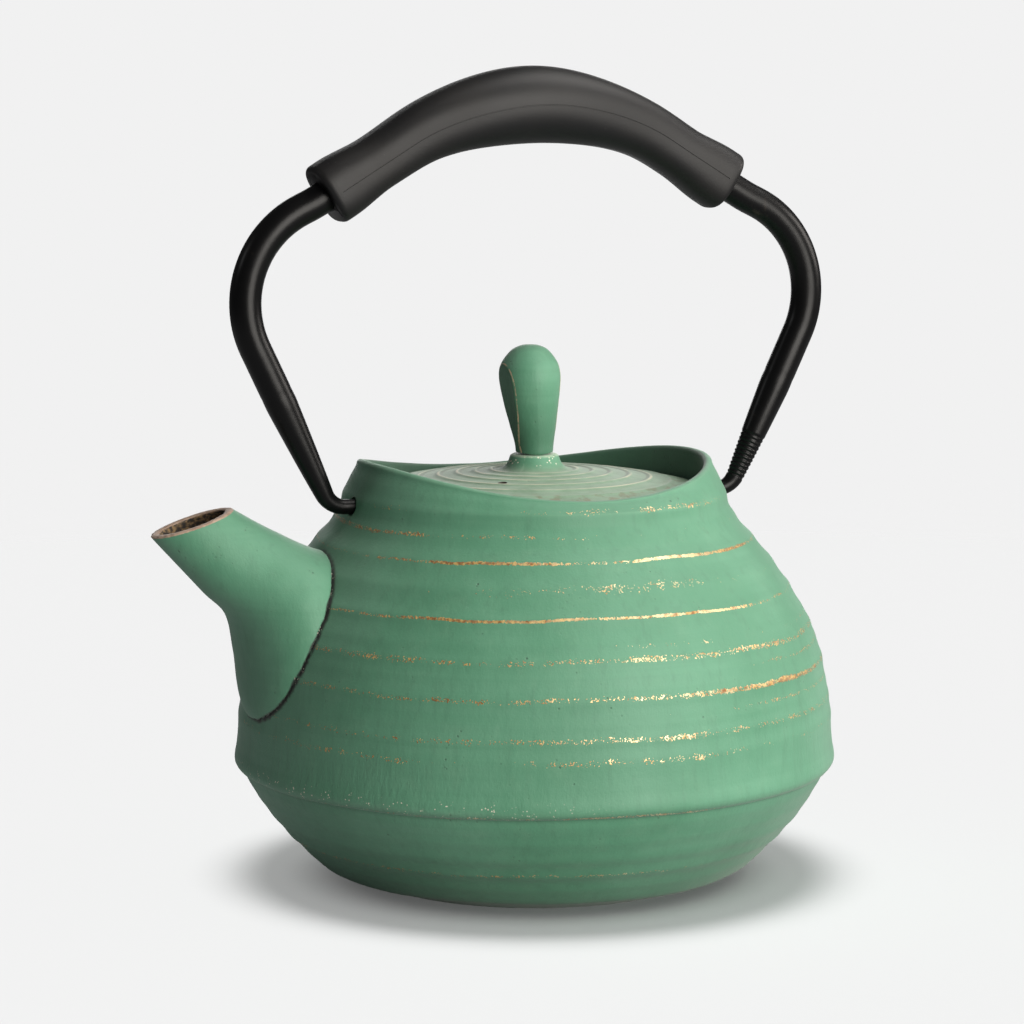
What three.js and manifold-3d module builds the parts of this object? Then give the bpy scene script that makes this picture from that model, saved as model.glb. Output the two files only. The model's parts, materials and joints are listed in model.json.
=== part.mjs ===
// Cast-iron teapot with a bail handle: pot, spout, lid and knob, tea infuser, handle and grip.
// Millimetres, +Z up. The origin is the centre of the base. The spout points along -X, and the
// handle stands in the XZ plane and swings about a line parallel to X.
import * as THREE from "three";
import { mergeVertices } from "three/addons/utils/BufferGeometryUtils.js";
import Module from "manifold-3d";

const wasm = await Module();
wasm.setup();

// Driving dimensions, in millimetres and degrees.
const GAP = 0.3; // clearance kept between pieces that touch
const ROUND_SIDES = 48; // facets round the pot, lid and infuser
const BELLY_STEPS = { lower: 6, upper: 12 }; // facets up the pot's two curves

const pot = {
  wall: 3.2,
  floor: 3.6,
  baseRadius: 42,
  flangeRadius: 75.2, // the widest line of the pot
  flangeUnderside: 28.4,
  shoulderTop: 84, // the hollow stops here, and the neck above is thick
  mouthRadius: 35,
  mouthUnderside: 89.6,
  infuserLedge: { radius: 38.8, height: 93.9 },
  lidLedge: { radius: 42, height: 95.2 },
};
const collar = {
  foot: 96, // the rim's wave starts above this height
  crest: 105.2, // the rim beside the handle, along X
  dip: 98.6, // the rim at the front and back, along Y
  lip: 1.2, // radius of the rounded rim
  lipCentre: 43.2,
};
const lid = {
  radius: 41.1,
  top: 102.2, // height of the domed face on the axis
  domeRise: 4.4, // how far the face falls to the edge
  edgeUnderside: 95.5,
  plate: 3.2,
  skirt: { inner: 29.4, outer: 32.2, bottom: 88.5 },
  boss: { footRadius: 6.6, topRadius: 5.4, top: 105.5 },
  vent: { radius: 1.1, x: -14.9, y: -16.2 },
};
const stud = { radius: 2, bottom: 93.4, top: 115 };
const washer = { radius: 4.6, thickness: 0.8 };
const nut = { acrossFlats: 7, thickness: 3.2 };
const knob = {
  bottom: 105.9,
  neckHeight: 107,
  widest: 124,
  top: 132.8,
  neckRadius: 4.65,
  headRadius: 7.85,
  lean: -1.3,
  flats: [
    { neckX: -4.6, headX: -7.7 }, // where each flat crosses the XZ plane
    { neckX: 4.7, headX: 5.3 },
  ],
};
const infuser = {
  sheet: 0.6,
  meshThickness: 0.5,
  flangeRadius: 38.5,
  neckRadius: 34.3,
  neckBottom: 88,
  wallTop: 92.5,
  bottom: 53.6,
  hemTop: 58.5,
  hemLip: 31.5,
};
const bail = {
  pivotHeight: 94.5,
  radius: 4,
  hookRadius: 1.85,
  hookBend: 6,
  elbowBend: 24.9,
  bendX: 49.8, // centre of the hook's bend and of the elbow
  elbowHeight: 144.4,
  crownHeight: 191.8,
  crownSlope: 26, // degrees down, where the tube leaves the grip
  tipX: 43.9, // the hook's end, inside its socket
  socketX: 43.5,
  socketRadius: 2.4,
  taperTop: 120, // the leg is full size above this height
};
const grip = {
  endX: 55.3,
  endZ: 169.6,
  boreRadius: 4.3,
  midThickness: 19.2, // in the handle's plane
  waistThickness: 14.2,
  endThickness: 15.6,
  midWidth: 20,
  endWidth: 15.4,
  waistX: 40,
  flareX: 50,
  endLift: 1.6, // the sleeve's ends sit a little above the tube
  sides: 20,
};

const point = (x, y) => new THREE.Vector2(x, y);
const place = (x, z) => new THREE.Vector3(x, 0, z);
const ACROSS = new THREE.Vector3(0, 1, 0);

// A closed three.js geometry as a solid, and a solid as a geometry.
function solidOf(geometry) {
  const bare = geometry.clone();
  bare.deleteAttribute("normal");
  bare.deleteAttribute("uv");
  const merged = mergeVertices(bare, 1e-4);
  return new wasm.Manifold(
    new wasm.Mesh({
      numProp: 3,
      vertProperties: new Float32Array(merged.attributes.position.array),
      triVerts: new Uint32Array(merged.index.array),
    }),
  );
}

function geometryOf(solid) {
  const mesh = solid.getMesh();
  const geometry = new THREE.BufferGeometry();
  geometry.setAttribute("position", new THREE.BufferAttribute(mesh.vertProperties, 3));
  geometry.setIndex(new THREE.BufferAttribute(mesh.triVerts, 1));
  return geometry;
}

// A profile of (radius, height) points, turned about the Z axis.
function turned(profile, sides = ROUND_SIDES) {
  const geometry = new THREE.LatheGeometry(profile, sides);
  geometry.rotateX(Math.PI / 2);
  return geometry;
}

function cylinder(radius, bottom, top, sides = 32) {
  const geometry = new THREE.CylinderGeometry(radius, radius, top - bottom, sides);
  geometry.rotateX(Math.PI / 2);
  geometry.translate(0, 0, (bottom + top) / 2);
  return geometry;
}

// A cylinder reshaped ring by ring: station(t) gives a ring's centre, its in-plane direction
// and its two half sizes, for t from 0 to 1. A squareness above 1 flattens the section's sides.
function lofted(station, sides, steps) {
  const geometry = new THREE.CylinderGeometry(1, 1, 1, sides, steps);
  const corner = new THREE.Vector3();
  const positions = geometry.attributes.position;
  for (let i = 0; i < positions.count; i += 1) {
    corner.fromBufferAttribute(positions, i);
    const ring = station(corner.y + 0.5);
    const squareness = ring.squareness ?? 1;
    const bulge = (value) => Math.sign(value) * Math.abs(value) ** (1 / squareness);
    const moved = ring.centre
      .clone()
      .addScaledVector(ring.inPlane, bulge(corner.x) * ring.height)
      .addScaledVector(ACROSS, bulge(corner.z) * ring.width * (ring.mirror ?? 1));
    positions.setXYZ(i, moved.x, moved.y, moved.z);
  }
  return geometry;
}

// --- Pot ---------------------------------------------------------------------------------

const lowerBelly = new THREE.SplineCurve([
  point(pot.baseRadius, 0),
  point(54, 4.2),
  point(60.3, 10.4),
  point(66, 16.4),
  point(71.2, 24),
  point(73, pot.flangeUnderside),
]);
const upperBelly = new THREE.SplineCurve([
  point(pot.flangeRadius, 29.2),
  point(74, 41.4),
  point(71.3, 56.4),
  point(63.9, 72.4),
  point(53.1, 86.4),
  point(48.6, 92.6),
  point(47.5, collar.foot),
]);

// A curve's points, moved sideways by a distance towards the hollow.
function inset(curve, distance, count) {
  return curve.getPoints(count).map((spot, i) => {
    const along = curve.getTangent(i / count);
    return point(spot.x - along.y * distance, spot.y + along.x * distance);
  });
}

function rimArc(steps) {
  const points = [];
  for (let i = 0; i <= steps; i += 1) {
    const angle = Math.PI * (i / steps);
    const r = collar.lipCentre + collar.lip * Math.cos(angle);
    points.push(point(r, collar.crest - collar.lip + collar.lip * Math.sin(angle)));
  }
  return points;
}

// The rim waves: it keeps its height along X and dips along Y.
function dipRim(geometry) {
  const positions = geometry.attributes.position;
  const depth = (collar.crest - collar.dip) / (collar.crest - collar.foot);
  for (let i = 0; i < positions.count; i += 1) {
    const x = positions.getX(i);
    const y = positions.getY(i);
    const z = positions.getZ(i);
    const above = z - collar.foot;
    if (above > 0) {
      const sideways = (y * y) / (x * x + y * y);
      positions.setZ(i, z - above * depth * sideways);
    }
  }
  return geometry;
}

function potProfile(outerGrowth = 0) {
  const outside = [
    ...inset(lowerBelly, -outerGrowth, BELLY_STEPS.lower),
    ...inset(upperBelly, -outerGrowth, BELLY_STEPS.upper),
    ...rimArc(4),
  ];
  return [point(0, -outerGrowth), ...outside];
}

function makePotBody() {
  const hollow = inset(upperBelly, pot.wall, BELLY_STEPS.upper);
  const shoulder = hollow.filter((spot) => spot.y < pot.shoulderTop);
  const inside = [
    point(pot.lidLedge.radius, pot.lidLedge.height),
    point(pot.infuserLedge.radius, pot.lidLedge.height),
    point(pot.infuserLedge.radius, pot.infuserLedge.height),
    point(pot.mouthRadius, pot.infuserLedge.height),
    point(pot.mouthRadius, pot.mouthUnderside),
    ...shoulder.slice(1).reverse(),
    ...inset(lowerBelly, pot.wall, BELLY_STEPS.lower).slice(2, -1).reverse(),
    point(pot.baseRadius + 2, pot.floor),
    point(0, pot.floor),
  ];
  let body = solidOf(dipRim(turned([...potProfile(), ...inside])));
  for (const side of [-1, 1]) {
    const length = 20;
    const hole = new THREE.CylinderGeometry(bail.socketRadius, bail.socketRadius, length, 20);
    hole.rotateZ(Math.PI / 2);
    hole.translate(side * (bail.socketX + length / 2), 0, bail.pivotHeight);
    body = body.subtract(solidOf(hole));
  }
  return body.subtract(solidOf(spigotRod(spout.spigotRadius + GAP, -12, 4)));
}

// --- Spout -------------------------------------------------------------------------------

// Stations from root to mouth: the top and underside points in the XZ plane, and half width.
const spout = {
  lip: 2.2, // wall thickness at the mouth
  rootWall: 2.8,
  // The channel's first share is the bore, from inside the pot to the wall; then it blends.
  channel: { boreShare: 0.3, boreFrom: -14, firstStation: 0.36, blendOver: 0.35, overshoot: 2.5 },
  spigotRadius: 12.6,
  spigotReach: 2, // how far the spigot runs into the spout's root
  boreRadius: 10.4,
  rootCentre: place(-68.4, 63.6), // where the spigot leaves the pot's wall
  rootAxis: place(-0.908, 0.42),
  stations: [
    { top: [-48, 80], under: [-68.5, 37.5], half: 23 },
    { top: [-55, 83.7], under: [-75, 46], half: 21.8 },
    { top: [-58.4, 84.9], under: [-77, 57.5], half: 19.6 },
    { top: [-62, 86.4], under: [-79.6, 68.8], half: 16 },
    { top: [-67.2, 89.1], under: [-85.6, 75], half: 12.4 },
    { top: [-73.1, 92.3], under: [-92.3, 82.2], half: 9.9 },
    { top: [-79, 95.8], under: [-99, 89.6], half: 8 },
  ],
};

// A ring between two opposite points in the XZ plane, with a given half width.
function ringBetween(top, under, half) {
  const centre = top.clone().add(under).multiplyScalar(0.5);
  const inPlane = top.clone().sub(under);
  const height = inPlane.length() / 2;
  return { centre, inPlane: inPlane.normalize(), height, width: half, mirror: -1 };
}

function spoutRing(t) {
  const last = spout.stations.length - 1;
  const index = Math.min(Math.floor(t * last + 1e-6), last - 1);
  const near = spout.stations[index];
  const far = spout.stations[index + 1];
  const part = t * last - index;
  return ringBetween(
    place(...near.top).lerp(place(...far.top), part),
    place(...near.under).lerp(place(...far.under), part),
    THREE.MathUtils.lerp(near.half, far.half, part),
  );
}

// A round rod on the spigot's axis, from one distance beyond the wall to another.
function spigotRod(radius, from, to) {
  const rod = new THREE.CylinderGeometry(radius, radius, to - from, 28);
  rod.applyQuaternion(new THREE.Quaternion().setFromUnitVectors(ACROSS, spout.rootAxis));
  const middle = spout.rootCentre.clone().addScaledVector(spout.rootAxis, (from + to) / 2);
  return rod.translate(middle.x, middle.y, middle.z);
}

// The channel is round in the spigot, then takes the spout's own section, and ends past the
// mouth so that it cuts the rim open.
function boreRing(distance) {
  const centre = spout.rootCentre.clone().addScaledVector(spout.rootAxis, distance);
  const up = place(spout.rootAxis.z, -spout.rootAxis.x).multiplyScalar(spout.boreRadius);
  return ringBetween(centre.clone().add(up), centre.clone().sub(up), spout.boreRadius);
}

function channelRing(t) {
  const { boreShare, boreFrom, firstStation } = spout.channel;
  if (t <= boreShare) return boreRing(boreFrom * (1 - t / boreShare));
  const reach = (t - boreShare) / (1 - boreShare);
  const bore = boreRing(0);
  const outer = spoutRing(THREE.MathUtils.lerp(firstStation, 1, reach));
  const wall = THREE.MathUtils.lerp(spout.rootWall, spout.lip, reach);
  const blend = THREE.MathUtils.smoothstep(reach, 0, spout.channel.blendOver);
  const overshoot = t === 1 ? spout.channel.overshoot : 0;
  const centre = bore.centre.clone().lerp(outer.centre, blend);
  centre.add(new THREE.Vector3(-0.3 * overshoot, 0, overshoot));
  return {
    centre,
    inPlane: bore.inPlane.clone().lerp(outer.inPlane, blend).normalize(),
    height: THREE.MathUtils.lerp(bore.height, outer.height - wall, blend),
    width: THREE.MathUtils.lerp(bore.width, outer.width - wall, blend),
    mirror: -1,
  };
}

function makeSpout() {
  const steps = 2 * (spout.stations.length - 1);
  const potOutside = turned([...potProfile(GAP), point(0, collar.crest)]);
  return solidOf(lofted(spoutRing, 28, steps))
    .subtract(solidOf(potOutside))
    .add(solidOf(spigotRod(spout.spigotRadius, -pot.wall - 1, spout.spigotReach)))
    .subtract(solidOf(lofted(channelRing, 24, 14)));
}

// --- Lid and knob ------------------------------------------------------------------------

const lidFace = (r) => lid.top - lid.domeRise * (r / lid.radius) ** 2;

function makeLid() {
  const dome = [];
  for (let i = 0; i <= 5; i += 1) {
    const r = THREE.MathUtils.lerp(lid.boss.footRadius, lid.radius - 0.5, i / 5);
    dome.push(point(r, lidFace(r)));
  }
  const underEdge = lidFace(lid.skirt.outer) - lid.plate;
  const profile = [
    point(0, lid.top - lid.plate),
    point(lid.skirt.inner - 6, lidFace(lid.skirt.inner - 6) - lid.plate),
    point(lid.skirt.inner, lidFace(lid.skirt.inner) - lid.plate),
    point(lid.skirt.inner, lid.skirt.bottom),
    point(lid.skirt.outer - 0.6, lid.skirt.bottom),
    point(lid.skirt.outer, lid.skirt.bottom + 0.8),
    point(lid.skirt.outer, underEdge),
    point(lid.radius - 3, lid.edgeUnderside),
    point(lid.radius, lid.edgeUnderside),
    point(lid.radius, lidFace(lid.radius) - 0.5),
    ...dome.reverse(),
    point(lid.boss.topRadius, lid.boss.top - 0.4),
    point(lid.boss.topRadius - 0.4, lid.boss.top),
    point(0, lid.boss.top),
  ];
  const vent = cylinder(lid.vent.radius, lid.skirt.bottom, lid.boss.top, 16);
  vent.translate(lid.vent.x, lid.vent.y, 0);
  return solidOf(turned(profile))
    .subtract(solidOf(cylinder(stud.radius + GAP, lid.skirt.bottom, lid.boss.top + 1, 20)))
    .subtract(solidOf(vent));
}

// The knob is a drop standing on its neck. Its head leans towards the spout, and it has a
// sloping flat on each side along X.
function makeKnob() {
  const outline = new THREE.SplineCurve([
    point(knob.neckRadius, knob.bottom),
    point(4.9, 108.5),
    point(6.1, 114),
    point(7.1, 119),
    point(knob.headRadius, knob.widest),
    point(7.1, 128),
    point(4.5, 131.2),
    point(0, knob.top),
  ]);
  const drop = turned([point(0, knob.bottom), ...outline.getPoints(14)], 24);
  const positions = drop.attributes.position;
  for (let i = 0; i < positions.count; i += 1) {
    const rise = THREE.MathUtils.smoothstep(positions.getZ(i), knob.bottom, knob.widest);
    positions.setX(i, positions.getX(i) + knob.lean * rise);
  }
  const hole = cylinder(stud.radius + GAP, knob.bottom - 1, stud.top + GAP, 16);
  let body = solidOf(drop).subtract(solidOf(hole));
  for (const flat of knob.flats) {
    const cut = new THREE.BoxGeometry(8, 24, 60);
    cut.translate(Math.sign(flat.neckX) * 4, 0, 0);
    cut.rotateY(Math.atan2(flat.headX - flat.neckX, knob.widest - knob.neckHeight));
    cut.translate((flat.neckX + flat.headX) / 2, 0, (knob.neckHeight + knob.widest) / 2);
    body = body.subtract(solidOf(cut));
  }
  return body;
}

const washerTop = lid.top - lid.plate - GAP;
const nutTop = washerTop - washer.thickness - GAP;

function makeWasher() {
  const hole = cylinder(stud.radius + GAP, washerTop - 2, washerTop + 1, 20);
  const disc = cylinder(washer.radius, washerTop - washer.thickness, washerTop, 28);
  return solidOf(disc).subtract(solidOf(hole));
}

function makeNut() {
  const across = nut.acrossFlats / Math.sqrt(3);
  const hexagon = cylinder(across, nutTop - nut.thickness, nutTop, 6);
  const hole = cylinder(stud.radius + GAP, nutTop - nut.thickness - 1, nutTop + 1, 20);
  return solidOf(hexagon).subtract(solidOf(hole));
}

// --- Infuser -----------------------------------------------------------------------------

// A ring with a closed rectangular or stepped section.
function ringOf(corners) {
  return turned([...corners, corners[0]].map(([r, z]) => point(r, z)));
}

const ledgeTop = pot.infuserLedge.height + GAP;
const neckInner = infuser.neckRadius - infuser.sheet;
const meshOuter = neckInner - GAP;
const meshInner = meshOuter - infuser.meshThickness;
const hemFloor = infuser.bottom + infuser.sheet;

const infuserRim = ringOf([
  [neckInner, infuser.neckBottom],
  [infuser.neckRadius, infuser.neckBottom],
  [infuser.neckRadius, ledgeTop],
  [infuser.flangeRadius, ledgeTop],
  [infuser.flangeRadius, ledgeTop + infuser.sheet],
  [neckInner, ledgeTop + infuser.sheet],
]);
const infuserWall = ringOf([
  [meshInner, hemFloor + 2 * GAP + infuser.meshThickness],
  [meshOuter, hemFloor + 2 * GAP + infuser.meshThickness],
  [meshOuter, infuser.wallTop],
  [meshInner, infuser.wallTop],
]);
const infuserHem = ringOf([
  [infuser.hemLip, infuser.bottom],
  [infuser.neckRadius, infuser.bottom],
  [infuser.neckRadius, infuser.hemTop],
  [neckInner, infuser.hemTop],
  [neckInner, hemFloor],
  [infuser.hemLip, hemFloor],
]);
const infuserBase = cylinder(
  meshOuter,
  hemFloor + GAP,
  hemFloor + GAP + infuser.meshThickness,
  ROUND_SIDES,
);

// --- Handle ------------------------------------------------------------------------------

// The bail's centre line in (x, z), from the left hook's tip over the crown to the right one.
// Hook bend and elbow share one centre x, so the leg's lean follows from their two radii.
function bailLine() {
  const hookCentre = point(bail.bendX, bail.pivotHeight + bail.hookBend);
  const elbowCentre = point(bail.bendX, bail.elbowHeight);
  const lean = Math.asin((bail.elbowBend - bail.hookBend) / (elbowCentre.y - hookCentre.y));
  const shoulder = THREE.MathUtils.degToRad(90 + bail.crownSlope);
  const halfCrown = [
    point(grip.endX, grip.endZ),
    point(41, 178.3),
    point(28.2, 185.7),
    point(14.5, 190.1),
  ];
  const mirrored = halfCrown.map((spot) => point(-spot.x, spot.y));
  const shoulderEnd = point(
    elbowCentre.x - bail.elbowBend * Math.cos(shoulder),
    elbowCentre.y + bail.elbowBend * Math.sin(shoulder),
  );
  const line = new THREE.Path();
  line.moveTo(-bail.tipX, bail.pivotHeight);
  line.absarc(-hookCentre.x, hookCentre.y, bail.hookBend, -Math.PI / 2, -Math.PI + lean, true);
  line.absarc(-elbowCentre.x, elbowCentre.y, bail.elbowBend, Math.PI + lean, shoulder, true);
  line.splineThru([...mirrored, point(0, bail.crownHeight), ...halfCrown.reverse(), shoulderEnd]);
  line.absarc(elbowCentre.x, elbowCentre.y, bail.elbowBend, Math.PI - shoulder, -lean, true);
  line.absarc(hookCentre.x, hookCentre.y, bail.hookBend, -lean, -Math.PI / 2, true);
  line.lineTo(bail.tipX, bail.pivotHeight);
  return line.getPoints(3).map((spot) => place(spot.x, spot.y));
}

// One ring of a rod that follows a list of points in the XZ plane.
function ringOnLine(line, t, size) {
  const index = Math.round(t * (line.length - 1));
  const before = line[Math.max(index - 1, 0)];
  const after = line[Math.min(index + 1, line.length - 1)];
  const along = after.clone().sub(before).normalize();
  const inPlane = along.cross(ACROSS);
  const ring = size(line[index]);
  return { centre: line[index].clone().addScaledVector(inPlane, ring.lift ?? 0), inPlane, ...ring };
}

// The legs thin down to the hooks: quickly at the end, slowly near full size.
function bailSize(spot) {
  const rise = (spot.z - bail.pivotHeight) / (bail.taperTop - bail.pivotHeight);
  const fullness = Math.min(Math.max(rise, 0), 1) ** 0.75;
  const radius = THREE.MathUtils.lerp(bail.hookRadius, bail.radius, fullness);
  return { height: radius, width: radius };
}

function makeBail() {
  const line = bailLine();
  return solidOf(lofted((t) => ringOnLine(line, t, bailSize), 12, line.length - 1));
}

// The sleeve is fullest in the middle, has a waist near each end, then flares and lifts.
function gripSize(spot) {
  const reach = Math.abs(spot.x);
  const fullness = Math.cos((Math.PI / 2) * Math.min(reach / grip.waistX, 1)) ** 2;
  const flare = THREE.MathUtils.smoothstep(reach, grip.waistX, grip.flareX);
  const waist = grip.waistThickness + flare * (grip.endThickness - grip.waistThickness);
  return {
    height: THREE.MathUtils.lerp(waist, grip.midThickness, fullness) / 2,
    width: THREE.MathUtils.lerp(grip.endWidth, grip.midWidth, fullness) / 2,
    squareness: THREE.MathUtils.lerp(1.45, 1.15, fullness),
    lift: grip.endLift * THREE.MathUtils.smoothstep(reach, grip.waistX, grip.endX),
  };
}

function makeGrip() {
  const line = bailLine();
  const sleeve = line.filter((spot) => Math.abs(spot.x) < grip.endX + 0.1 && spot.z > 160);
  const cored = line.filter((spot) => Math.abs(spot.x) < bail.bendX + 12 && spot.z > 160);
  const bore = () => ({ height: grip.boreRadius, width: grip.boreRadius });
  return solidOf(lofted((t) => ringOnLine(sleeve, t, gripSize), grip.sides, sleeve.length - 1))
    .subtract(solidOf(lofted((t) => ringOnLine(cored, t, bore), 12, cored.length - 1)));
}

// --- Materials and assembly --------------------------------------------------------------

const greenPaint = { color: 0x5f9d7c, roughness: 0.75, metalness: 0 };
const blackSteel = { color: 0x16161a, roughness: 0.35, metalness: 0.4 };
const blackSilicone = { color: 0x353131, roughness: 0.7, metalness: 0 };
const stainless = { color: 0xb8babd, roughness: 0.3, metalness: 1 };

const teapot = new THREE.Group();

function addNode(name, shape, finish) {
  const geometry = shape.isBufferGeometry ? shape : geometryOf(shape);
  const mesh = new THREE.Mesh(geometry, new THREE.MeshStandardMaterial(finish));
  mesh.name = name;
  teapot.add(mesh);
}

addNode("pot_body", makePotBody(), greenPaint);
addNode("spout", makeSpout(), greenPaint);
addNode("lid", makeLid(), greenPaint);
addNode("knob", makeKnob(), greenPaint);
addNode("knob_stud", cylinder(stud.radius, stud.bottom, stud.top, 20), stainless);
addNode("knob_washer", makeWasher(), stainless);
addNode("knob_nut", makeNut(), stainless);
addNode("infuser_rim", infuserRim, stainless);
addNode("infuser_wall", infuserWall, stainless);
addNode("infuser_hem", infuserHem, stainless);
addNode("infuser_base", infuserBase, stainless);
addNode("handle_bail", makeBail(), blackSteel);
addNode("handle_grip", makeGrip(), blackSilicone);

export default teapot;
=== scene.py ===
import json
import math

import bmesh
import bpy
import numpy as np
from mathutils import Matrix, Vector
from mathutils.bvhtree import BVHTree

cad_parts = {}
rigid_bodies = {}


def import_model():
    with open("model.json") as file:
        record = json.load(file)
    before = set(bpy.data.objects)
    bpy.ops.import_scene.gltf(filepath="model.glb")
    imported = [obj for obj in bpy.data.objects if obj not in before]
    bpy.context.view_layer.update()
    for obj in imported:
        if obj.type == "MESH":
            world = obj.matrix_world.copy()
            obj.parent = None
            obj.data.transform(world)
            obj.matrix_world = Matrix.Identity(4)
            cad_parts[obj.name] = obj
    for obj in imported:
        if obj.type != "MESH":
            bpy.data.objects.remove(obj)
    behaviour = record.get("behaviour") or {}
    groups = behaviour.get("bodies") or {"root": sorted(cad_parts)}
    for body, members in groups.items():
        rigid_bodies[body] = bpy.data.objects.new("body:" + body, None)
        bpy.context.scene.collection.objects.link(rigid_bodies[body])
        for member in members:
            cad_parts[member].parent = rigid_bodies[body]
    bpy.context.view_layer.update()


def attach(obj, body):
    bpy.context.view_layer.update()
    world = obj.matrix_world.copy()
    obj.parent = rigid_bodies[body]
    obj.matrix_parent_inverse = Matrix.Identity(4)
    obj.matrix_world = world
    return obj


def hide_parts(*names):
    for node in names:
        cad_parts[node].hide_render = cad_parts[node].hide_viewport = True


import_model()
mm = 0.001


def deselect():
    if bpy.context.object and bpy.context.object.mode != "OBJECT":
        bpy.ops.object.mode_set(mode="OBJECT")
    bpy.ops.object.select_all(action="DESELECT")


def focus(piece):
    deselect()
    piece.select_set(True)
    bpy.context.view_layer.objects.active = piece


def editMode(piece):
    focus(piece)
    bpy.ops.object.mode_set(mode="EDIT")


def objectMode():
    bpy.ops.object.mode_set(mode="OBJECT")


# The object that an operator has just made, with its name.
def newest(name):
    piece = bpy.context.object
    piece.name = piece.data.name = name
    return piece


# In edit mode: selects the corners, edges or faces whose middle passes the test.
def pick(kind, test):
    bpy.ops.mesh.select_mode(type=kind)
    bpy.ops.mesh.select_all(action="DESELECT")
    mesh = bpy.context.object.data
    shape = bmesh.from_edit_mesh(mesh)
    parts = {"VERT": shape.verts, "EDGE": shape.edges, "FACE": shape.faces}[kind]
    for part in parts:
        corners = [part] if kind == "VERT" else part.verts
        if test(sum((corner.co for corner in corners), Vector()) / len(corners)):
            part.select_set(True)
    shape.select_flush_mode()
    bmesh.update_edit_mesh(mesh)


def tidyNormals(weld=0.002 * mm):
    bpy.ops.mesh.select_all(action="SELECT")
    bpy.ops.mesh.remove_doubles(threshold=weld)
    bpy.ops.mesh.normals_make_consistent(inside=False)


def applyModifier(piece, kind, **settings):
    focus(piece)
    change = piece.modifiers.new(kind.lower(), kind)
    for name, value in settings.items():
        setattr(change, name, value)
    bpy.ops.object.modifier_apply(modifier=change.name)


def cutWith(piece, cutter, operation="DIFFERENCE"):
    applyModifier(piece, "BOOLEAN", object=cutter, operation=operation, solver="EXACT")
    bpy.data.objects.remove(cutter)


# A weight between 0 and 1 for each corner, for a modifier to read.
def weigh(piece, name, share):
    group = piece.vertex_groups.new(name=name)
    for corner in piece.data.vertices:
        amount = share(corner.co)
        if amount > 0:
            group.add([corner.index], min(amount, 1), "REPLACE")


def roughen(piece, grain, strength, group=""):
    clouds = bpy.data.textures.new(piece.name + "Cast", "CLOUDS")
    clouds.noise_scale = grain * mm
    clouds.noise_depth = 2
    applyModifier(piece, "DISPLACE", texture=clouds, texture_coords="LOCAL", mid_level=0.5,
                  strength=strength * mm, vertex_group=group)


# A value for each corner, for a finish to read.
def markPlaces(piece, name, value):
    data = [value(corner) for corner in piece.data.vertices]
    piece.data.attributes.new(name, "FLOAT", "POINT").data.foreach_set("value", data)


# How near each corner is to another piece: 1 where they touch, 0 beyond the reach.
def markNearness(piece, name, other, reach):
    skin = BVHTree.FromObject(other, bpy.context.evaluated_depsgraph_get())

    def near(corner):
        distance = skin.find_nearest(corner.co, reach * mm)[3]
        return 0 if distance is None else 1 - distance / (reach * mm)

    markPlaces(piece, name, near)


# Points on a smooth curve through the given ones, with a number of steps to each span.
def curveThrough(places, steps):
    spots = [np.array(place, float) for place in places]
    spots = [2 * spots[0] - spots[1], *spots, 2 * spots[-1] - spots[-2]]
    line = []
    for before, near, far, after in zip(spots, spots[1:], spots[2:], spots[3:]):
        for t in np.arange(steps) / steps:
            line.append(near + (far - before) * t / 2
                        + (2 * before - 5 * near + 4 * far - after) * t ** 2 / 2
                        + (3 * near - before - 3 * far + after) * t ** 3 / 2)
    return line + [spots[-2]]


# Points at even steps along a line, or closer together near its ends.
def evenly(line, count, ends=()):
    line = np.array(line)
    walked = np.concatenate([[0], np.cumsum(np.linalg.norm(np.diff(line, axis=0), axis=1))])
    far = walked[-1]
    first = ends[-1] + far / count if ends else 0
    stops = [*ends, *np.linspace(first, far - first, count), *(far - end for end in reversed(ends))]
    return list(np.stack([np.interp(stops, walked, line[:, i]) for i in range(line.shape[1])], 1))


# How far a spot is from the Z axis, in mm.
def offAxis(spot):
    return math.hypot(spot.x, spot.y) / mm


def smoothStep(value, low, high):
    t = min(max((value - low) / (high - low), 0), 1)
    return t * t * (3 - 2 * t)


def arc(middle, radius, start, end, steps):
    angles = [math.radians(start + (end - start) * i / steps) for i in range(steps + 1)]
    return [(middle[0] + radius * math.cos(a), middle[1] + radius * math.sin(a)) for a in angles]


# An outline of (radius, height) is drawn corner by corner, ready to be spun.
def drawOutline(name, outline):
    deselect()
    bpy.ops.mesh.primitive_plane_add(size=mm, location=(0, 0, 0))
    piece = newest(name)
    bpy.ops.object.mode_set(mode="EDIT")
    bpy.ops.mesh.select_mode(type="VERT")
    bpy.ops.mesh.select_all(action="SELECT")
    bpy.ops.mesh.merge(type="CENTER")
    here = np.zeros(2)
    for i, there in enumerate(outline):
        move = (np.array(there, float) - here) * mm
        if i == 0:
            bpy.ops.transform.translate(value=(move[0], 0, move[1]))
        else:
            bpy.ops.mesh.extrude_vertices_move(
                TRANSFORM_OT_translate={"value": (move[0], 0, move[1])})
        here = np.array(there, float)
    bpy.ops.mesh.select_all(action="SELECT")
    return piece


def turn(name, outline, steps, closed=False):
    piece = drawOutline(name, [*outline, outline[0]] if closed else outline)
    bpy.ops.mesh.spin(steps=steps, angle=2 * math.pi, center=(0, 0, 0), axis=(0, 0, 1))
    tidyNormals()
    objectMode()
    return piece


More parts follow.
